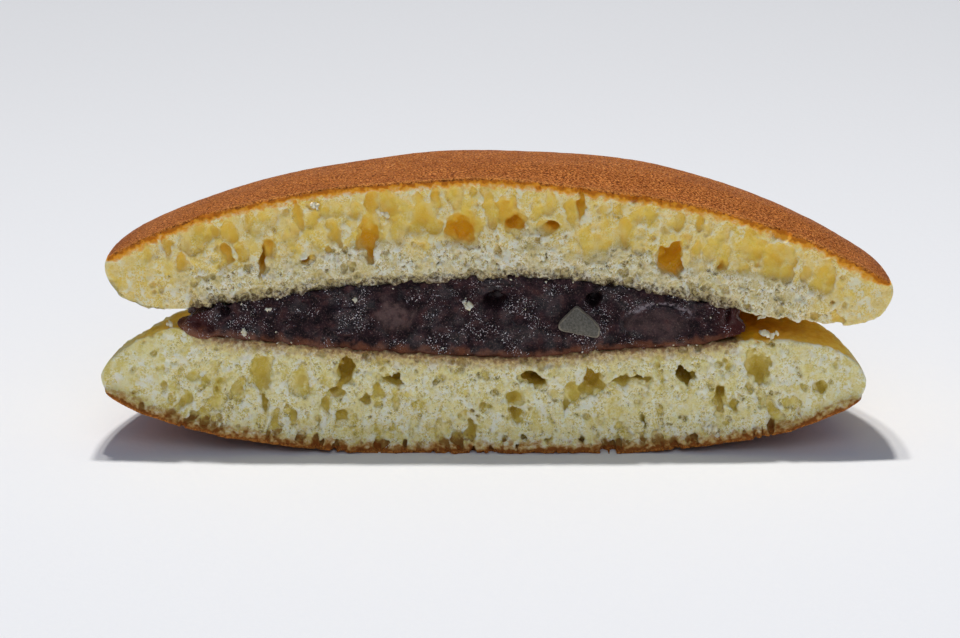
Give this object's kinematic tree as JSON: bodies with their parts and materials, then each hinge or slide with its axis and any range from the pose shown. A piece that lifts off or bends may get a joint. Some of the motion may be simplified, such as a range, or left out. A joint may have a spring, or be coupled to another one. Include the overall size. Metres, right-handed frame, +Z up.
{
  "type": "halved dorayaki",
  "caption": "Half of a filled pancake sandwich: two domed sponge cakes with browned outer faces round a lens of sweet bean paste, cut through the middle and lying flat.",
  "frame": {"origin": "middle of the half disc's footprint, on the surface that it rests on", "axes": "+X along the cut from left to right, +Y away from the cut face into the food, +Z up"},
  "size_m": [0.0942, 0.0468, 0.0339],
  "materials": {
    "upper_cake": "browned, finely pitted pancake skin over a yellow open sponge",
    "bean_paste": "moist dark adzuki paste with whole and broken beans",
    "lower_cake": "pale yellow open sponge over a thin browned underside"
  },
  "bodies": {
    "root": {"upper_cake": "upper_cake", "bean_paste": "bean_paste", "lower_cake": "lower_cake"}
  },
  "joints": []
}
